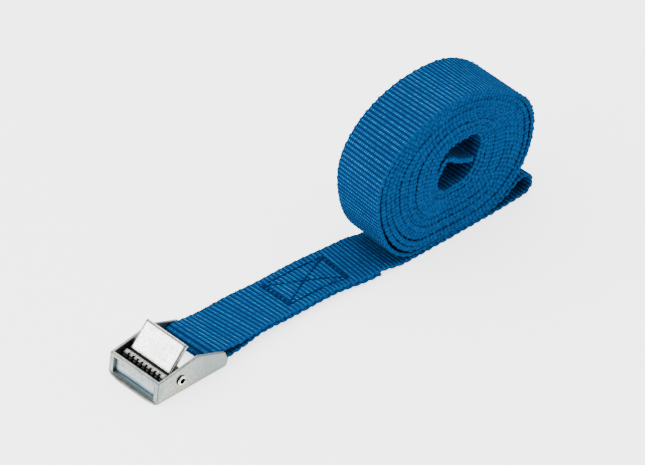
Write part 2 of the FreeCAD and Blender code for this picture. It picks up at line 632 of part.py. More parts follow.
for item in document.Objects:
    if {"Invalid", "Error"} & set(item.State):
        raise RuntimeError(f"{item.Label} failed to recompute: {item.State}")

os.makedirs("parts", exist_ok=True)
whole = FreeCAD.BoundBox()
for node in NODES:
    shape = document.getObjectsByLabel(node)[0].Shape
    if shape.isNull() or not shape.isValid() or not shape.Solids:
        raise RuntimeError(f"{node} has no valid solid")
    whole.add(shape.BoundBox)
for node in NODES:
    shape = document.getObjectsByLabel(node)[0].Shape
    shape.exportStep(f"parts/{node}.step")
    print(f"{node}: {len(shape.Solids)} solid, {shape.Volume:.1f} mm3")
print(f"whole: X {whole.XMin:.2f}..{whole.XMax:.2f}  Y {whole.YMin:.2f}..{whole.YMax:.2f}  "
      f"Z {whole.ZMin:.2f}..{whole.ZMax:.2f}")
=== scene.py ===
"""A 25 mm lashing strap with a cam buckle, wound into an oval roll and lying on a table.

The webbing is one strip: sewn-back tail, loop round the buckle's bar, lead, run under the roll,
end fold and fourteen turns of the roll, with its free end inside the roll.
Lengths in this script are in millimetres until a mesh is made; x is counted from the front of
the buckle, as in the CAD source.
"""
import math

import bpy
import numpy as np
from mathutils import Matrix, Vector


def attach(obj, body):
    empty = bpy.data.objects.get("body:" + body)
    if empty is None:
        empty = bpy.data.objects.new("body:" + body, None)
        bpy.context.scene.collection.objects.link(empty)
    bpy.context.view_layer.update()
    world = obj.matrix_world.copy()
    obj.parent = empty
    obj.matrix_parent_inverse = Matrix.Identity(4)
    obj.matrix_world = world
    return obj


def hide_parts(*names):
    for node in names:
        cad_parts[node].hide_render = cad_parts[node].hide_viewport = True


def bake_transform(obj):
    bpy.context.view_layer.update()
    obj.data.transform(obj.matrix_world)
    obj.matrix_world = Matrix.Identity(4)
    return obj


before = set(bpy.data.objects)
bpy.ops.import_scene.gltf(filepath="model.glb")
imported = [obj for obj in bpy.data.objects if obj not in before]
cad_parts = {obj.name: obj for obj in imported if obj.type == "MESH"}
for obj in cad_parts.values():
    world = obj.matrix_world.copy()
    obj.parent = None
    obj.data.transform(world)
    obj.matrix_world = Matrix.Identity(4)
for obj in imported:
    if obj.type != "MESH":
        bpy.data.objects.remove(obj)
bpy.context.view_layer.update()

# The CAD counts x from the buckle's front; the row's origin is the middle of the strap.
SHIFT = 98.0
MM = 0.001

# ---------------------------------------------------------------- webbing facts
WIDTH = 25.0
THICK = 1.5                 # over the ribs, pressed; up to LOFTY where the roll is loose
LOFTY = 1.95
RIB = 1.85                  # usual pitch of the ribs along the strap
RIB_STRETCHED = 2.15        # and where it is pulled tight behind the buckle
GROOVE = 0.18               # depth between two ribs
COLUMN = 1.0                # pitch of the warp columns across it
STEP = 0.3                  # between two stations along the strap: six to a rib
TURNS = 14.16               # ends the last turn left of the eye; picked for a strap of about 2.5 m
TURN_POINTS = 900           # points of the spiral in each turn
START = math.radians(-122.0)        # where the first turn leaves the return, seen from HOOP
SEAM = (74.2, 104.2, 8.2)   # sewn box: first x, last x, half width
DENT = 0.32                 # how deep the stitches pull the webbing in


def smooth(t):
    """0 below 0, 1 above 1 and an eased step between."""
    t = np.clip(t, 0.0, 1.0)
    return t * t * (3.0 - 2.0 * t)


def between(at, first, ease_in, last, ease_out):
    """1 from first to last, eased in after first and out before last."""
    return smooth((at - first) / ease_in) * smooth((last - at) / ease_out)


def blur_weights(step, sigma, reach):
    """Gaussian weights for points step apart, with reach points on each side."""
    weights = np.exp(-0.5 * (np.arange(-reach, reach + 1) * step / sigma) ** 2)
    return weights / weights.sum()


def wrapped(theta):
    """The same angle between minus and plus half a turn."""
    return (theta + math.pi) % (2 * math.pi) - math.pi


# ---------------------------------------------------------------- the webbing's middle line
def fillets(route):
    """Dense points along straight runs whose corners are rounded to the radius given."""
    points = [np.array(p[:2], float) for p in route]
    dense = [points[0][None]]
    for i in range(1, len(points) - 1):
        back, here, ahead = points[i - 1], points[i], points[i + 1]
        a = (here - back) / np.linalg.norm(here - back)
        b = (ahead - here) / np.linalg.norm(ahead - here)
        turn = math.atan2(a[0] * b[1] - a[1] * b[0], a @ b)
        radius = route[i][2]
        setback = radius * math.tan(abs(turn) / 2)
        hand = math.copysign(1.0, turn)
        centre = here - a * setback + np.array([-a[1], a[0]]) * radius * hand
        start = here - a * setback - centre
        angles = np.linspace(0.0, turn, max(4, int(abs(turn) * radius / 0.1)))
        c, s = np.cos(angles), np.sin(angles)
        dense.append(centre + np.stack([start[0] * c - start[1] * s, start[0] * s + start[1] * c], 1))
    dense.append(points[-1][None])
    return np.concatenate(dense)


def length_along(points):
    """Distance from the first point, at each point."""
    steps = np.linalg.norm(np.diff(points[:, :2], axis=0), axis=1)
    return np.concatenate([[0.0], np.cumsum(steps)])


def evenly(points, step):
    """The same line with its points step apart."""
    at_points = length_along(points)
    at = np.linspace(0.0, at_points[-1], int(round(at_points[-1] / step)) + 1)
    return np.stack([np.interp(at, at_points, column) for column in points.T], 1)


def relaxed(points, step, sigma):
    """Evenly spaced points whose corners are eased over a length of sigma."""
    even = evenly(points, step)
    reach = int(3 * sigma / step)
    weights = blur_weights(step, sigma, reach)
    first = 2 * even[0] - even[reach:0:-1]
    last = 2 * even[-1] - even[-2:-reach - 2:-1]
    padded = np.concatenate([first, even, last])
    return np.stack([np.convolve(column, weights, mode="valid") for column in padded.T], 1)


HOOP = np.array([155.9, 34.3])      # middle of the space inside the roll


def polar(outline):
    """Radius about HOOP as a function of the angle, from a closed outline of points."""
    rel = outline - HOOP
    angle = np.arctan2(rel[:, 1], rel[:, 0])
    order = np.argsort(angle)
    angle, radius = angle[order], np.linalg.norm(rel, axis=1)[order]

    def at(theta):
        return np.interp(wrapped(theta), angle, radius, period=2 * math.pi)
    return at


def arc(centre, half_x, half_z, first, last, count=160):
    """Points on an ellipse from one angle to another, in degrees."""
    t = np.radians(np.linspace(first, last, count))
    return np.stack([centre[0] + half_x * np.cos(t), centre[1] + half_z * np.sin(t)], 1)


LEVEL = 35.0                        # where the roll is widest
DEPTH = 31.6                        # of the flat bottom below LEVEL
CROWN_X, CROWN_HALF, CROWN_HEIGHT = 155.35, 40.95, 31.2
LEFT_X, LEFT_HALF = 135.6, 21.2     # lower left corner: middle and half width
RIGHT_X, RIGHT_HALF = 164.7, 31.6   # lower right corner
# Close points: between two far ones, a radius that changes evenly with the angle bulges.
flat_x = np.linspace(136.0, 164.0, 80)
outer_outline = np.concatenate([
    arc((CROWN_X, LEVEL), CROWN_HALF, CROWN_HEIGHT, 0, 180),
    arc((LEFT_X, LEVEL), LEFT_HALF, DEPTH, 180, 270),
    np.stack([flat_x, np.full(len(flat_x), LEVEL - DEPTH)], 1),
    arc((RIGHT_X, LEVEL), RIGHT_HALF, DEPTH, 270, 360)])
EYE_SLOPE, EYE_HALF, EYE_RADIUS = 36.0, 7.4, 5.3
eye_way = np.array([math.cos(math.radians(EYE_SLOPE)), math.sin(math.radians(EYE_SLOPE))])
eye_outline = np.concatenate([
    arc(HOOP + side * EYE_HALF * eye_way, EYE_RADIUS, EYE_RADIUS, first, first + 180)
    for side, first in ((1, EYE_SLOPE - 90), (-1, EYE_SLOPE + 90))])
outer_radius = polar(outer_outline)
eye_radius = polar(eye_outline)


def bell(theta, middle, spread):
    """One at the angle given in degrees, fading to nothing on both sides."""
    return np.exp(-(wrapped(theta - math.radians(middle)) / math.radians(spread)) ** 2)


# Places on the roll, as an angle seen from HOOP and its spread, in degrees.
SHOULDER, FAR_SHOULDER = (42, 26), (48, 26)
LOWER_LEFT, RIGHT = (-140, 30), (5, 30)
FLATTER, FULLER = 2.5, 2.2          # the near edge at the shoulder, and the far edge against it


def roll_line():
    """The roll from its lower left, up and over clockwise, and inwards.

    The columns are x, z, thickness and how much further out the far edge runs than the near one.
    """
    theta = START - np.linspace(0.0, 2 * math.pi * TURNS, int(TURNS * TURN_POINTS))
    done = (START - theta) / (2 * math.pi)              # turns made so far
    part = done % 1.0
    inner = eye_radius(theta) + THICK / 2
    outer = outer_radius(theta) - THICK / 2 - FLATTER * bell(theta, *SHOULDER)
    pitch = (outer - inner) / (TURNS - 1.0)
    outer = outer - (1.0 - part) * smooth(part / 0.18) * pitch   # the first turn lies on the outline
    share = (TURNS - done) / (TURNS - 1.0)
    radius = inner + (outer - inner) * share
    # Where the turns lie apart, those further in are shifted inwards.
    second, fourth = smooth((done - 0.3) / 0.6), smooth((done - 1.2) / 2.2)
    loose = bell(theta, *LOWER_LEFT) * (1.0 * second + 1.5 * fourth)
    loose += 0.8 * bell(theta, *RIGHT) * smooth((done - 0.8) / 0.8)
    radius -= loose * np.clip(share, 0.0, 1.0)
    full = smooth(done / 0.5)
    thick = np.clip(pitch, THICK, LOFTY) * full + THICK * (1.0 - full)
    spot = HOOP + radius[:, None] * np.stack([np.cos(theta), np.sin(theta)], 1)
    return np.column_stack([spot, thick, FULLER * bell(theta, *FAR_SHOULDER) * share])


def pressed(points):
    """Points x, z with the pressed thickness and no fullness on the far side."""
    return np.column_stack([points, np.full(len(points), THICK), np.zeros(len(points))])


FOLD_X, FOLD_RADIUS = 191.45, 4.5
FIRST, SECOND, TAIL, LEAD = 0.8, 2.4, 1.1, 2.7      # heights of the middle of each flat layer


FOLD_TOP = FIRST + 2 * FOLD_RADIUS
# Each route's points are x, z and the radius of the corner there.
TAIL_ROUTE = (116.6, TAIL, 0), (68.0, TAIL, 60), (53.0, 2.6, 40), (40.0, 2.2, 20)
LOOP_ROUTE = (27.8, 1.8, 3.0), (27.8, 8.25, 3.0)
LEAD_ROUTE = (43.2, 5.4, 30), (49.2, 4.6, 60), (72.2, LEAD, 60), (118.6, LEAD, 14)
TABLE_ROUTE = (126.6, FIRST, 14), (FOLD_X, FIRST, 0)
RETURN_ROUTE = ((FOLD_X, FOLD_TOP, 0), (189.25, FOLD_TOP, 3), (179.5, 4.8, 25), (170.5, SECOND, 25),
                (152.0, SECOND, 0))
FREE_ROUTE = (149.2, 40.9, 3.5), (155.4, 35.6, 7.0), (163.4, 32.4, 0)
ROLL_FROM = 8                       # the return runs straight to this point of the roll


def webbing_line():
    """The middle line of the whole webbing, from the sewn-back end to the free end."""
    start = fillets(TAIL_ROUTE + LOOP_ROUTE + LEAD_ROUTE + TABLE_ROUTE)
    fold = arc((FOLD_X, FIRST + FOLD_RADIUS), FOLD_RADIUS, FOLD_RADIUS, -90, 90, 60)
    back = fillets(RETURN_ROUTE)
    roll = roll_line()
    tongue = pressed(fillets(((*roll[-1, :2], 0), *FREE_ROUTE))[1:])
    tongue[:, 2] = LOFTY
    return np.concatenate([pressed(start[:-1]), pressed(fold), pressed(back[1:]), roll[ROLL_FROM:], tongue])


relaxed_line = relaxed(webbing_line(), STEP, 1.2)
line, thickness, fullness = relaxed_line[:, :2], relaxed_line[:, 2], relaxed_line[:, 3]
run = np.arange(len(line)) * STEP   # length along the webbing at each station


# ---------------------------------------------------------------- sideways sway of the strap
SWAY = ((30.0, 0.0), (48.0, 1.2), (57.0, 2.1), (67.0, 2.2), (80.0, 1.7), (93.0, 1.5), (100.0, 0.8),
        (111.0, -0.6), (127.0, -1.5), (141.0, -1.6), (154.0, -1.7), (178.0, -1.7), (196.0, -1.1))
SWAY_SOFT, SWAY_REACH = 5.0, 18.0   # the corners of that line are eased: sigma and half the window
RAISED = 1.2                        # the near edge stands this high over the far edge


def swayed(x):
    """How far the strap's middle lies to one side at x, and its heading there."""
    xs, ys = np.array(SWAY).T
    fine = np.linspace(xs[0] - 40, xs[-1] + 40, 800)
    step = fine[1] - fine[0]
    reach = int(SWAY_REACH / step)
    weights = blur_weights(step, SWAY_SOFT, reach)
    soft = np.convolve(np.pad(np.interp(fine, xs, ys), reach, mode="edge"), weights, mode="valid")
    return np.interp(x, fine, soft), np.interp(x, fine, np.gradient(soft, step))


def placed(x, y, z):
    """A point of the straight strap, moved with the sway, in metres in the row's frame."""
    aside, heading = swayed(x)
    turn = np.arctan(heading)
    nearness = np.clip(0.5 - y / WIDTH, 0.0, 1.0)
    lifted = z + RAISED * nearness * between(x, 42.0, 22.0, 114.0, 20.0)
    return np.stack([x - y * np.sin(turn) - SHIFT, aside + y * np.cos(turn), lifted], -1) * MM


# ---------------------------------------------------------------- the webbing's surface
def rib_phase():
    """Length along the strap measured in ribs, at each station."""
    tight = between(run, 80.0, 20.0, 150.0, 20.0)
    return np.cumsum(STEP / (RIB + (RIB_STRETCHED - RIB) * tight))


def rib_height(phase):
    """0 in the groove between two ribs, 1 on the rib."""
    return 1.0 - np.abs(2.0 * (phase % 1.0) - 1.0) ** 2.2


def seam_middle(x):
    """The sewn box isn't quite in line with the strap."""
    return 0.5 - 1.0 * (x - SEAM[0]) / (SEAM[1] - SEAM[0])


def near(distance, spread):
    """1 at no distance, fading to nothing."""
    return np.exp(-(distance / spread) ** 2)


def seam_dent(x, y):
    """How strongly the stitches pull the surface in at a point of the strap."""
    x0, x1, half = SEAM
    v = y - seam_middle(x)
    inside_x = smooth(x - x0 + 1.0) * smooth(x1 + 1.0 - x)
    inside_v = smooth(half + 1.0 - np.abs(v))
    rows = near(np.abs(v) - half, 0.7) * inside_x
    ends = (near(x - x0 - 0.8, 1.5) + near(x - x1 + 0.8, 1.5)) * inside_v
    along = (x - x0) / (x1 - x0) * 2.0 - 1.0
    square = math.cos(math.atan2(half, (x1 - x0) / 2))      # turns a distance in v square to the cross
    cross = near((v - along * half) * square, 0.6) + near((v + along * half) * square, 0.6)
    return np.clip(rows + ends + cross * inside_x * inside_v, 0.0, 1.0)


rng = np.random.default_rng(7)
phase_at = rib_phase()
rib_count = int(phase_at[-1]) + 4
rib_wobble = rng.normal(0.0, 1.0, (rib_count, 3))
HALF_FLAT = WIDTH / 2 - 0.55        # from the middle to where the rounded edge starts
EDGE_BAND = 1.6                     # the width in which the surface thins towards the edge
EDGE_ROUND = 0.6                    # how far the rounded edge reaches out


def edge_wave(v):
    """How far the edge swings in and out: the selvedge with the loops is the livelier one."""
    return -0.22 if v < 0 else 0.09


def tube_quads(grid):
    """The faces around a tube, from its vertex numbers as one row for each ring."""
    ahead = np.roll(grid, -1, axis=1)
    return np.stack([grid[:-1], ahead[:-1], ahead[1:], grid[1:]], -1).reshape(-1, 4)


def strip(first, last, across, relief):
    """Vertices, faces and UVs of one closed stretch of the webbing, between two station numbers."""
    at = np.arange(first, last + 1)
    s, phase, middle, flat = run[at], phase_at[at], line[at], thickness[at] / 2
    tangent = np.gradient(line, axis=0)[at]
    tangent /= np.linalg.norm(tangent, axis=1)[:, None]
    normal = np.stack([-tangent[:, 1], tangent[:, 0]], 1)
    rib = rib_height(phase)
    index = phase.astype(int)
    odd = np.where(index % 2 == 0, 1.0, -1.0)
    wound = smooth((s - s_roll) / 120.0)
    scallop = np.cos(math.pi * phase) * (1.0 - 0.7 * wound) + 0.4 * rib_wobble[index, 0] * rib
    zigzag = ((0.12 + 0.26 * wound) * odd + 0.16 * wound * rib_wobble[index, 2]) * rib
    lateral = (0.22 * np.sin(s * 0.021 + 1.0) + 0.16 * np.sin(s * 0.0083)) * wound
    sewn = (s < s_lead_end) * 1.0
    ring = []
    for side in (1, -1):
        for v in across[::side]:
            edge = smooth((abs(v) - (HALF_FLAT - EDGE_BAND)) / EDGE_BAND)
            column = v / COLUMN + 0.5
            crown = 1.0 - np.abs(2.0 * (column % 1.0) - 1.0) ** 3
            parity = 1.0 if math.floor(column) % 2 == 0 else -1.0
            weave = 0.05 * crown + 0.035 * parity * odd
            height = flat * (1.0 - 0.06 * edge) - GROOVE * (1.0 - rib) + weave * rib * relief
            height -= 0.03 * np.abs(rib_wobble[index, 1])
            if side == 1:
                height = height - DENT * seam_dent(middle[:, 0], v) * sewn
            swung = v + edge_wave(v) * edge * scallop + lateral
            ring.append((swung, side * height, np.full_like(s, v)))
        for turn in (70, 35, 0, -35, -70):
            c, up = math.cos(math.radians(turn)), side * math.sin(math.radians(turn))
            out = side * (HALF_FLAT + EDGE_ROUND * c * (0.55 + 0.50 * rib)) + edge_wave(side) * scallop
            rise = flat * up * (0.88 + 0.12 * rib) * (1.0 + 0.24 * wound) + zigzag * c
            ring.append((out + lateral, rise, np.full_like(s, side * (HALF_FLAT + EDGE_ROUND * c))))
    y, height, weave_v = (np.stack([r[k] for r in ring], 1) for k in range(3))
    height = height + fullness[at][:, None] * np.clip(0.5 + y / WIDTH, 0.0, 1.0)
    x = middle[:, None, 0] + normal[:, None, 0] * height
    z = middle[:, None, 1] + normal[:, None, 1] * height
    verts = placed(x, y, z)
    rows, count = y.shape
    grid = np.arange(rows * count).reshape(rows, count)
    quads = tube_quads(grid)
    uv = np.stack([np.broadcast_to(RIB * phase[:, None], y.shape), weave_v], -1)
    return verts.reshape(-1, 3), quads, uv.reshape(-1, 2), grid


def station(x, z, lo, hi):
    """The number of the station nearest to a point, among those from lo to hi."""
    return lo + int(np.argmin(np.linalg.norm(line[lo:hi] - np.array([x, z]), axis=1)))


before_roll = int(400 / STEP)       # the roll's turns come after this station
i_loop = station(27.8, 5.0, 0, before_roll)
i_fold = station(196.0, 5.3, 0, before_roll)
i_lead_end = station(121.0, 2.6, i_loop, i_fold)
i_roll = station(140.0, SECOND, i_fold, i_fold + int(120 / STEP))
s_lead_end, s_roll = run[i_lead_end], run[i_roll]
i_one_turn = i_roll + int(225 / STEP)       # the outer turn shows its face
i_last = len(line) - int(125 / STEP)        # and so does the free end


def mesh_object(name, verts, faces, uv=None, materials=()):
    """A smooth-shaded object from vertex places and a list of faces."""
    mesh = bpy.data.meshes.new(name)
    mesh.vertices.add(len(verts))
    mesh.vertices.foreach_set("co", np.asarray(verts, np.float32).ravel())
    sizes = np.array([len(face) for face in faces])
    flat = np.concatenate([np.asarray(face) for face in faces])
    mesh.loops.add(len(flat))
    mesh.loops.foreach_set("vertex_index", flat.astype(np.int32))
    mesh.polygons.add(len(sizes))
    mesh.polygons.foreach_set("loop_start", np.concatenate([[0], np.cumsum(sizes)[:-1]]).astype(np.int32))
    mesh.polygons.foreach_set("use_smooth", np.full(len(sizes), True))
    mesh.update(calc_edges=True)
    if uv is not None:
        layer = mesh.uv_layers.new(name="Weave")
        layer.data.foreach_set("uv", np.asarray(uv, np.float32)[flat].ravel())
    for material in materials:
        mesh.materials.append(material)
    obj = bpy.data.objects.new(name, mesh)
    bpy.context.scene.collection.objects.link(obj)
    return obj


def build_webbing(material):
    """One mesh: finely woven where it shows, coarser in the hidden turns of the roll."""
    fine = np.linspace(-HALF_FLAT, HALF_FLAT, 50)
    rim = HALF_FLAT - np.array([0.0, 0.8, 2.0])
    coarse = np.concatenate([-rim, [-5.0, 5.0], rim[::-1]])
    verts, faces, uvs = [], [], []
    count = 0
    stretches = ((0, i_one_turn, fine, 1.0), (i_one_turn, i_last, coarse, 0.0),
                 (i_last, len(line) - 1, fine, 1.0))
    for first, last, across, relief in stretches:
        spots, quads, uv, grid = strip(first, last, across, relief)
        verts.append(spots)
        uvs.append(uv)
        faces.extend((quads + count).tolist())
        faces.append((grid[0][::-1] + count).tolist())
        faces.append((grid[-1] + count).tolist())
        count += len(spots)
    return mesh_object("webbing", np.concatenate(verts), faces, np.concatenate(uvs), [material])


# ---------------------------------------------------------------- the seam's stitches
STITCH, THREAD = 2.5, 0.42          # length of a stitch with its gap, half the thread's width


def seam_rows():
    """The rows of stitches, as pairs of ends (x, y): a box with a cross, dense at both ends."""
    x0, x1, half = SEAM
    rows = [((x0, side * half), (x1, side * half)) for side in (-1, 1)]
    rows += [((x0, -side * half), (x1, side * half)) for side in (-1, 1)]
    for k in range(3):
        rows += [((x, -half), (x, half)) for x in (x0 + 0.8 * k, x1 - 0.8 * k)]
    return rows


def build_stitches(name, first, last, up, material):
    """Short arched stitches along the rows, on the layer between two stations."""
    order = np.argsort(line[first:last, 0])
    xs, zs = line[first:last][order].T
    u = np.linspace(0.0, 1.0, 9)
    around = np.radians(np.arange(0, 360, 45))
    verts, faces = [], []
    for row, (a, b) in enumerate(seam_rows()):
        a, b = np.array(a), np.array(b)
        long = np.linalg.norm(b - a)
        way = (b - a) / long
        count = int(round(long / STITCH))
        for i in range(count):
            wander = rng.normal(0.0, 0.07, 2)
            at = (i + 0.06 + 0.88 * u + 0.25 * (row % 2)) / count * long
            spine = a + way * np.clip(at, 0.0, long)[:, None] + wander
            arch = np.sin(math.pi * u)
            size = THREAD * (0.35 + 0.65 * np.sqrt(arch))
            y = spine[:, 1, None] + size[:, None] * np.cos(around) * way[0]
            x = spine[:, 0, None] - size[:, None] * np.cos(around) * way[1]
            level = np.interp(x, xs, zs) + up * (THICK / 2 - DENT + 0.02 + 0.16 * arch[:, None])
            z = level + 0.8 * size[:, None] * np.sin(around)
            grid = len(verts) * y.size + np.arange(y.size).reshape(y.shape)
            verts.append(placed(x, y + seam_middle(x), z).reshape(-1, 3))
            faces.extend(tube_quads(grid).tolist())
            faces.append(grid[0][::-1].tolist())
            faces.append(grid[-1].tolist())
    return mesh_object(name, np.concatenate(verts), faces, materials=[material])


# ---------------------------------------------------------------- material helpers
class Nodes:
    """A short way to write shader nodes."""

    def __init__(self, name):
        self.material = bpy.data.materials.new(name)
        self.material.use_nodes = True
        self.tree = self.material.node_tree
        self.tree.nodes.clear()
        self.output = self.tree.nodes.new("ShaderNodeOutputMaterial")
        self.shader = self.tree.nodes.new("ShaderNodeBsdfPrincipled")
        self.link(self.shader.outputs[0], self.output.inputs[0])

    def link(self, a, b):
        self.tree.links.new(a, b)

    def put(self, socket, value):
        if isinstance(value, bpy.types.NodeSocket):
            self.link(value, socket)
        elif isinstance(value, tuple) and len(value) == 3 and socket.type == "RGBA":
            socket.default_value = (*value, 1.0)
        else:
            socket.default_value = value

    def set(self, **values):
        for key, value in values.items():
            self.put(self.shader.inputs[key.replace("_", " ")], value)

    def saw(self, value):
        """From a fraction: 1 at 0 and at 1, 0 halfway."""
        return self.math("ABSOLUTE", self.math("SUBTRACT", self.math("MULTIPLY", value, 2.0), 1.0))

    def math(self, kind, a, b=0.0):
        node = self.tree.nodes.new("ShaderNodeMath")
        node.operation = kind
        for socket, value in zip(node.inputs, (a, b)):
            self.put(socket, value)
        return node.outputs[0]

    def ramp(self, value, low, high, to_low=0.0, to_high=1.0):
        node = self.tree.nodes.new("ShaderNodeMapRange")
        node.interpolation_type = "SMOOTHSTEP"
        for socket, item in zip(node.inputs, (value, low, high, to_low, to_high)):
            self.put(socket, item)
        return node.outputs[0]

    def mix(self, share, a, b, kind="MIX"):
        node = self.tree.nodes.new("ShaderNodeMix")
        node.data_type = "RGBA"
        node.blend_type = kind
        self.put(node.inputs[0], share)
        self.put(node.inputs[6], a)
        self.put(node.inputs[7], b)
        return node.outputs[2]

    def uv(self):
        node = self.tree.nodes.new("ShaderNodeUVMap")
        node.uv_map = "Weave"
        parts = self.tree.nodes.new("ShaderNodeSeparateXYZ")
        self.link(node.outputs[0], parts.inputs[0])
        return node.outputs[0], parts.outputs[0], parts.outputs[1]

    def place(self):
        return self.tree.nodes.new("ShaderNodeTexCoord").outputs["Object"]

    def scaled(self, vector, scale):
        node = self.tree.nodes.new("ShaderNodeMapping")
        node.inputs["Scale"].default_value = scale
        self.link(vector, node.inputs[0])
        return node.outputs[0]

    def noise(self, vector, scale, detail=2.0, rough=0.5):
        node = self.tree.nodes.new("ShaderNodeTexNoise")
        self.link(vector, node.inputs["Vector"])
        self.put(node.inputs["Scale"], scale)
        self.put(node.inputs["Detail"], detail)
        self.put(node.inputs["Roughness"], rough)
        return node.outputs[0]

    def white(self, x, y):
        both = self.tree.nodes.new("ShaderNodeCombineXYZ")
        self.put(both.inputs[0], x)
        self.put(both.inputs[1], y)
        node = self.tree.nodes.new("ShaderNodeTexWhiteNoise")
        node.noise_dimensions = "2D"
        self.link(both.outputs[0], node.inputs[0])
        return node.outputs[0]

    def near_edge(self, reach):
        """0 on open faces, 1 on edges and in corners."""
        rounded = self.tree.nodes.new("ShaderNodeBevel")
        rounded.samples = 8
        rounded.inputs["Radius"].default_value = reach
        surface = self.tree.nodes.new("ShaderNodeNewGeometry")
        same = self.tree.nodes.new("ShaderNodeVectorMath")
        same.operation = "DOT_PRODUCT"
        self.link(rounded.outputs[0], same.inputs[0])
        self.link(surface.outputs["Normal"], same.inputs[1])
        return self.ramp(same.outputs["Value"], 0.9995, 0.975)

    def hollow(self, reach):
        """0 on open faces, 1 deep in gaps and corners."""
        node = self.tree.nodes.new("ShaderNodeAmbientOcclusion")
        node.samples = 12
        node.inputs["Distance"].default_value = reach
        return self.ramp(node.outputs["AO"], 0.85, 0.25)

    def bump(self, height, strength, distance):
        node = self.tree.nodes.new("ShaderNodeBump")
        node.inputs["Strength"].default_value = strength
        node.inputs["Distance"].default_value = distance
        self.link(height, node.inputs["Height"])
        self.link(node.outputs[0], self.shader.inputs["Normal"])


# Colours of the webbing, from the painted shade of the grooves to the painted highlight on the crowns of
# the yarns.
WEBBING_LOW, WEBBING_HIGH = (0.003, 0.023, 0.084), (0.004, 0.030, 0.102)
WEBBING_GROOVE_SHADE, WEBBING_GAP_SHADE = (0.001, 0.010, 0.045), (0.002, 0.013, 0.055)
WEBBING_CROWN_HIGHLIGHT = (0.012, 0.138, 0.280)
WEBBING_EDGE = (0.003, 0.051, 0.152)


def webbing_material():
    """Ribbed blue weave: a painted highlight on the slanting crowns of single yarns, painted shade in the
    grooves between the ribs.
    """
    n = Nodes("blue_webbing")
    both, s, v = n.uv()
    column_at = n.math("ADD", n.math("DIVIDE", v, COLUMN), 64.5)
    column_number = n.math("FLOOR", column_at)
    across = n.math("FRACT", column_at)
    rib_at = n.math("DIVIDE", s, RIB)
    slanted = n.math("ADD", rib_at, n.math("MULTIPLY", n.math("SUBTRACT", across, 0.5), 0.34))
    rib, dash, seam = n.saw(n.math("FRACT", rib_at)), n.saw(n.math("FRACT", slanted)), n.saw(across)
    groove = n.ramp(rib, 0.35, 0.95)
    gap = n.ramp(seam, 0.35, 0.95)
    cell = n.white(n.math("FLOOR", rib_at), column_number)
    whole_rib = n.white(n.math("FLOOR", rib_at), 7.0)
    lengthwise = n.white(column_number, 3.0)
    patch = n.noise(both, 0.05, 3.0)
    crown = n.math("MULTIPLY", n.ramp(dash, 0.62, 0.12), n.ramp(seam, 0.85, 0.25))
    lively = n.math("MULTIPLY", n.ramp(cell, 0.0, 1.0, 0.45, 1.0),
                    n.ramp(whole_rib, 0.0, 1.0, 0.6, 1.0))
    base = n.mix(n.ramp(patch, 0.3, 0.7), WEBBING_LOW, WEBBING_HIGH)
    # Painted shade in the grooves between the ribs and in the gaps between the warp columns.
    base = n.mix(n.math("MULTIPLY", groove, 0.9), base, WEBBING_GROOVE_SHADE)
    base = n.mix(n.math("MULTIPLY", gap, 0.55), base, WEBBING_GAP_SHADE)
    # Painted highlight on the crowns of the yarns, in place of gloss.
    base = n.mix(n.math("MULTIPLY", crown, lively), base, WEBBING_CROWN_HIGHLIGHT)
    selvedge = n.ramp(n.math("ABSOLUTE", v), HALF_FLAT - 0.1, HALF_FLAT + 0.15)
    loop = n.math("MULTIPLY", n.ramp(rib, 1.0, 0.3, 0.45, 1.0), n.ramp(cell, 0.0, 1.0, 0.55, 1.0))
    base = n.mix(n.math("MULTIPLY", selvedge, loop), base, WEBBING_EDGE)
    strands = n.noise(n.scaled(both, (1.0, 9.0, 1.0)), 0.9, 2.0)
    relief = n.math("ADD", n.math("MULTIPLY", crown, 0.6), n.math("MULTIPLY", strands, 0.35))
    n.bump(relief, 0.7, 0.00012)
    n.set(Base_Color=base, Roughness=n.math("ADD", 0.42, n.math("MULTIPLY", lengthwise, 0.12)))
    n.shader.inputs["Specular IOR Level"].default_value = 0.0
    return n.material


def thread_material():
    """Twisted navy thread."""
    n = Nodes("navy_thread")
    strands = n.noise(n.place(), 2500.0, 2.0)
    n.set(Base_Color=n.mix(strands, (0.0, 0.008, 0.038), (0.0, 0.016, 0.064)), Roughness=0.6)
    n.shader.inputs["Specular IOR Level"].default_value = 0.01
    n.bump(strands, 0.5, 0.00005)
    return n.material


def zinc_material(name, light, dark, tint, rough, speck, line, hollow_shade, reach, shaded=None, gap=0.004):
    """Zinc plating: a mottled cast and specks, with painted shade along the edges and in the gaps."""
    n = Nodes(name)
    where = n.place()
    cloud = n.noise(where, 110.0, 3.0, 0.6)
    patch = n.noise(where, 380.0, 4.0, 0.6)
    fine = n.noise(where, 1100.0, 3.0, 0.75)
    base = n.mix(n.ramp(cloud, 0.42, 0.58), dark, light)
    base = n.mix(n.ramp(patch, 0.48, 0.60, 0.0, 0.85), base, tint)
    base = n.mix(n.ramp(fine, 0.46, 0.62, 0.0, 0.85), base, speck)
    # Painted light: the shaded function paints shade, reflection or highlight into the colour.
    if shaded:
        base = shaded(n, where, base)
    # Painted shade: edges and corners are darkened to the line colour.
    base = n.mix(n.math("MULTIPLY", n.near_edge(reach), 0.85), base, line)
    # Painted shade: gaps and corners found by ambient occlusion are darkened.
    base = n.mix(n.math("MULTIPLY", n.hollow(gap), 0.9), base, hollow_shade)
    n.set(Base_Color=base, Metallic=1.0,
          Roughness=n.math("ADD", rough, n.math("MULTIPLY", patch, 0.16)))
    n.bump(n.math("ADD", n.math("MULTIPLY", fine, 0.5), patch), 0.3, 0.00008)
    return n.material


def split(n, where):
    """The x, y and z of a place."""
    parts = n.tree.nodes.new("ShaderNodeSeparateXYZ")
    n.link(where, parts.inputs[0])
    return parts.outputs


def region(n, *spans):
    """1 where every value is past its span, from outside to inside, in mm; 0 elsewhere."""
    share = 1.0
    for value, outside, inside in spans:
        share = n.math("MULTIPLY", share, n.ramp(value, outside * MM, inside * MM))
    return share


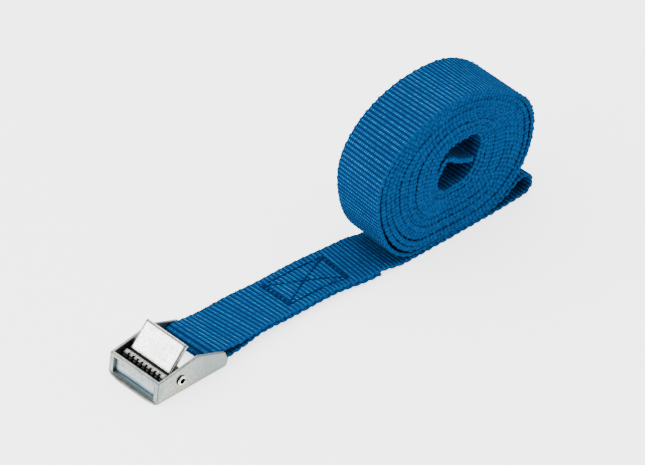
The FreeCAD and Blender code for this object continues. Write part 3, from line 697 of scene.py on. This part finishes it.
def sheet_shade(n, where, base):
    """Painted reflection and shade on the frame: darker towards the strap, a lighter bluer dish panel and a
    dark teal low part of the dish.
    """
    x, y, z = split(n, where)
    aside = n.math("ABSOLUTE", y)
    before_inside = (x, 2.1 - SHIFT, 1.7 - SHIFT)       # in front of the front wall's inner face
    # Painted shade: darker towards the rear of the frame, towards the strap.
    rear = region(n, (x, 4.0 - SHIFT, 28.0 - SHIFT))
    base = n.mix(n.math("MULTIPLY", rear, 0.7), base, (0.13, 0.17, 0.17))
    # Painted reflection: the dish's panel is lighter and bluer.
    panel = region(n, (aside, 11.6, 11.3), (x, 0.4 - SHIFT, 1.0 - SHIFT), before_inside, (z, 9.0, 8.6))
    base = n.mix(n.math("MULTIPLY", panel, 0.85), base, (0.36, 0.50, 0.58))
    # Painted shade: the low part of the dish is dark teal, with a cloudy upper edge.
    cloudy = n.math("ADD", z, n.math("MULTIPLY", n.noise(where, 260.0, 3.0), 0.0022))
    low = region(n, (cloudy, 6.0, 3.2), (aside, 11.7, 11.0), before_inside, (z, 1.15, 1.35))
    return n.mix(n.math("MULTIPLY", low, 0.8), base, (0.022, 0.050, 0.060))


CAM = (10.9, 5.8)                   # centre of the cam's toothed arc, x and z
PLATE_FOOT, PLATE_SLOPE = (9.1, 9.3), math.radians(47.5)     # lower edge of the thumb plate's face
PLATE_LONG, PLATE_HALF = 12.4, 11.2


def lever_shade(n, where, base):
    """Painted shade in the groove under the thumb plate and between the cam's ridges, and a painted shadow
    line inside the thumb plate's border.
    """
    x, y, z = split(n, where)
    # Painted shade in the groove under the thumb plate.
    groove = region(n, (x, 7.42 - SHIFT, 7.5 - SHIFT), (x, 9.25 - SHIFT, 9.13 - SHIFT),
                    (z, 9.29, 9.22), (z, 8.1, 8.15))
    away_x = n.math("SUBTRACT", x, (CAM[0] - SHIFT) * MM)
    away_z = n.math("SUBTRACT", z, CAM[1] * MM)
    squared = n.math("ADD", n.math("MULTIPLY", away_x, away_x), n.math("MULTIPLY", away_z, away_z))
    radius = n.math("SQRT", squared)
    # Painted shade between the cam's ridges.
    gaps = region(n, (radius, 5.35, 5.0), (x, 7.5 - SHIFT, 7.3 - SHIFT), (z, 9.05, 8.85))
    base = n.mix(groove, base, (0.16, 0.157, 0.15))
    base = n.mix(gaps, base, (0.035, 0.033, 0.030))
    foot_x = n.math("SUBTRACT", x, (PLATE_FOOT[0] - SHIFT) * MM)
    foot_z = n.math("SUBTRACT", z, PLATE_FOOT[1] * MM)
    c, s = math.cos(PLATE_SLOPE), math.sin(PLATE_SLOPE)
    along = n.math("ADD", n.math("MULTIPLY", foot_x, c), n.math("MULTIPLY", foot_z, s))
    under = n.math("SUBTRACT", n.math("MULTIPLY", foot_x, s), n.math("MULTIPLY", foot_z, c))
    border = n.math("MINIMUM", n.math("SUBTRACT", PLATE_HALF * MM, n.math("ABSOLUTE", y)),
                    n.math("SUBTRACT", PLATE_LONG * MM, along))
    # Painted shadow line inside the thumb plate's border, along its chamfer.
    rim = region(n, (border, 0.95, 0.70), (border, 0.22, 0.42), (under, 0.5, 0.4), (along, 0.0, 0.2))
    return n.mix(n.math("MULTIPLY", rim, 0.9), base, (0.05, 0.05, 0.047))


def pin_shade(n, where, base):
    """Painted highlight: the pin's end faces are painted bright."""
    y = split(n, where)[1]
    return n.mix(region(n, (n.math("ABSOLUTE", y), 14.2, 14.35)), base, (0.75, 0.75, 0.72))


# ---------------------------------------------------------------- webbing, thread and metal pieces
blue = webbing_material()
webbing = build_webbing(blue)
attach(webbing, "strap")
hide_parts("webbing_loop", "webbing_tail", "webbing_lead", "webbing_table_run",
            "webbing_end_fold", "webbing_return", "webbing_roll")

navy = thread_material()
CLEAR = 40                          # stations between the loop's end and the sewn layers
for name, node, first, last, up in (
        ("needle_stitches", "needle_thread", i_loop + CLEAR, i_lead_end, 1),
        ("bobbin_stitches", "bobbin_thread", 0, i_loop - CLEAR, -1)):
    thread = build_stitches(name, first, last, up, navy)
    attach(thread, "strap")
    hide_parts(node)

sheet_metal = zinc_material(
    "zinc_sheet", light=(0.34, 0.36, 0.33), dark=(0.19, 0.25, 0.26), tint=(0.33, 0.32, 0.22), rough=0.27,
    speck=(0.15, 0.16, 0.15), line=(0.05, 0.055, 0.055), hollow_shade=(0.075, 0.072, 0.062), reach=0.0007,
    shaded=sheet_shade)
lever_metal = zinc_material(
    "zinc_casting", light=(0.98, 0.97, 0.94), dark=(0.72, 0.77, 0.78), tint=(0.86, 0.84, 0.76), rough=0.30,
    speck=(0.42, 0.42, 0.39), line=(0.008, 0.008, 0.007), hollow_shade=(0.030, 0.029, 0.027), reach=0.0016,
    shaded=lever_shade, gap=0.0022)
# Painted shade: the pin's sides are given a very dark colour; pin_shade paints its end faces bright.
pin_metal = zinc_material(
    "zinc_pin", light=(0.06, 0.06, 0.055), dark=(0.03, 0.03, 0.03), tint=(0.05, 0.045, 0.04), rough=0.25,
    speck=(0.04, 0.04, 0.04), line=(0.03, 0.03, 0.03), hollow_shade=(0.01, 0.01, 0.01), reach=0.0002,
    shaded=pin_shade)
wire_metal = zinc_material(
    "spring_steel", light=(0.32, 0.32, 0.33), dark=(0.22, 0.22, 0.24), tint=(0.30, 0.28, 0.24), rough=0.30,
    speck=(0.15, 0.15, 0.15), line=(0.05, 0.05, 0.05), hollow_shade=(0.02, 0.02, 0.02), reach=0.0002)

for node, material, bevel in (("buckle_frame", sheet_metal, 0.16), ("cam_lever", lever_metal, 0.10),
                              ("pivot_pin", pin_metal, 0.06)):
    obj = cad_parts[node]
    if not obj.material_slots:
        obj.data.materials.append(material)
    for slot in obj.material_slots:
        slot.material = material
    edge = obj.modifiers.new("edges", "BEVEL")
    edge.width = bevel * MM
    edge.segments = 2
    edge.limit_method = "ANGLE"
    edge.angle_limit = math.radians(35)
    edge.harden_normals = False


# ---------------------------------------------------------------- the torsion spring
PIN = np.array([12.4, 6.0])         # the pin's middle, x and z
COIL, PITCH, COILS, WIRE = 2.75, 0.95, 5, 0.4       # radius, pitch, number of turns, half the wire
LEG_DOWN, LEG_UP = 4.8, 7.2         # lengths of the two legs


def build_spring(material):
    """One leg on the floor plate, the coil on the pin and one leg under the thumb plate."""
    turn = np.linspace(0.0, 2.0 * math.pi * COILS, 24 * COILS + 1)
    side = PITCH * (COILS / 2 - turn / (2.0 * math.pi))
    coil = np.stack([PIN[0] + COIL * np.cos(turn), side, PIN[1] + COIL * np.sin(turn)], 1)
    foot, head = coil[0] - (0.0, 0.0, LEG_DOWN), coil[-1] + (0.0, 0.0, LEG_UP)
    down = np.linspace(foot, coil[0], 8)[:-1]
    up = np.linspace(coil[-1], head, 10)[1:]
    path = np.concatenate([down, coil, up])
    along = np.gradient(path, axis=0)
    along /= np.linalg.norm(along, axis=1)[:, None]
    out = np.cross(along, (0.0, 1.0, 0.0))
    out /= np.linalg.norm(out, axis=1)[:, None]
    over = np.cross(out, along)
    around = np.radians(np.arange(0, 360, 30))[:, None, None]
    rings = path + WIRE * (np.cos(around) * out + np.sin(around) * over)
    rings = rings.transpose(1, 0, 2)
    verts = (rings - (SHIFT, 0.0, 0.0)) * MM
    grid = np.arange(verts.shape[0] * verts.shape[1]).reshape(verts.shape[:2])
    faces = tube_quads(grid).tolist()
    faces += [grid[0][::-1].tolist(), grid[-1].tolist()]
    return mesh_object("spring", verts.reshape(-1, 3), faces, materials=[material])


spring = build_spring(wire_metal)
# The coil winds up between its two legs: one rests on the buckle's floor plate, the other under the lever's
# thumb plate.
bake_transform(spring)
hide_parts("torsion_spring")


# ---------------------------------------------------------------- studio
def sky(zenith, horizon, dark_side, dim):
    """A white surrounding, brighter overhead and dim around one direction."""
    world = bpy.data.worlds.new("studio")
    bpy.context.scene.world = world
    world.use_nodes = True
    tree = world.node_tree
    way = tree.nodes.new("ShaderNodeTexCoord").outputs["Generated"]
    parts = tree.nodes.new("ShaderNodeSeparateXYZ")
    toward = tree.nodes.new("ShaderNodeVectorMath")
    toward.operation = "DOT_PRODUCT"
    toward.inputs[1].default_value = Vector(dark_side).normalized()
    tree.links.new(way, parts.inputs[0])
    tree.links.new(way, toward.inputs[0])
    strength = tree.nodes.new("ShaderNodeMath")
    strength.operation = "MULTIPLY"
    rising = (parts.outputs[2], (0.03, 0.6, horizon, zenith))
    fading = (toward.outputs["Value"], (0.45, 0.85, 1.0, dim))
    for slot, (source, span) in enumerate((rising, fading)):
        ramp = tree.nodes.new("ShaderNodeMapRange")
        ramp.interpolation_type = "SMOOTHSTEP"
        tree.links.new(source, ramp.inputs[0])
        for socket, value in zip(ramp.inputs[1:5], span):
            socket.default_value = value
        tree.links.new(ramp.outputs[0], strength.inputs[slot])
    back = tree.nodes["Background"]
    back.inputs[0].default_value = (0.97, 0.985, 1.0, 1.0)
    tree.links.new(strength.outputs[0], back.inputs[1])


def floor(reach, base, glow):
    """A plain white floor."""
    corners = [(-reach, -reach, 0), (reach, -reach, 0), (reach, reach, 0), (-reach, reach, 0)]
    mesh = bpy.data.meshes.new("floor")
    mesh.from_pydata(corners, [], [(0, 1, 2, 3)])
    obj = bpy.data.objects.new("floor", mesh)
    bpy.context.scene.collection.objects.link(obj)
    n = Nodes("floor_white")
    n.set(Base_Color=(base, base, base), Roughness=0.8)
    n.shader.inputs["Specular IOR Level"].default_value = 0.1
    n.shader.inputs["Emission Color"].default_value = (1.0, 1.0, 1.0, 1.0)
    n.shader.inputs["Emission Strength"].default_value = glow
    mesh.materials.append(n.material)


def softbox(name, place, size, power):
    """A round lamp aimed at the strap."""
    lamp = bpy.data.lights.new(name, "AREA")
    lamp.shape = "DISK"
    lamp.size = size
    lamp.energy = power
    obj = bpy.data.objects.new(name, lamp)
    bpy.context.scene.collection.objects.link(obj)
    obj.location = place
    obj.rotation_euler = (Vector((0.0, 0.0, 0.02)) - Vector(place)).to_track_quat("-Z", "Y").to_euler()


def camera(azimuth, elevation, away, lens, aim):
    """A long lens. The line of sight is in degrees, its length and the aim in metres."""
    turn, down = math.radians(azimuth), math.radians(elevation)
    forward = Vector((math.sin(turn) * math.cos(down), math.cos(turn) * math.cos(down), -math.sin(down)))
    data = bpy.data.cameras.new("camera")
    data.lens = lens
    data.sensor_width = 36.0
    data.clip_end = 20.0
    obj = bpy.data.objects.new("camera", data)
    bpy.context.scene.collection.objects.link(obj)
    obj.location = Vector(aim) - forward * away
    obj.rotation_euler = forward.to_track_quat("-Z", "Y").to_euler()
    bpy.context.scene.camera = obj


sky(zenith=4.1, horizon=0.5, dark_side=(-0.49, -0.81, 0.33), dim=0.15)
floor(reach=3.0, base=0.6, glow=2.4)
softbox("back_left", (-0.92, 0.81, 0.67), 0.8, 9.0)
softbox("left", (-1.20, -0.10, 0.75), 0.9, 14.0)
camera(azimuth=42.67, elevation=37.8, away=2.5, lens=364.4, aim=(0.00251, 0.00352, 0.0200))
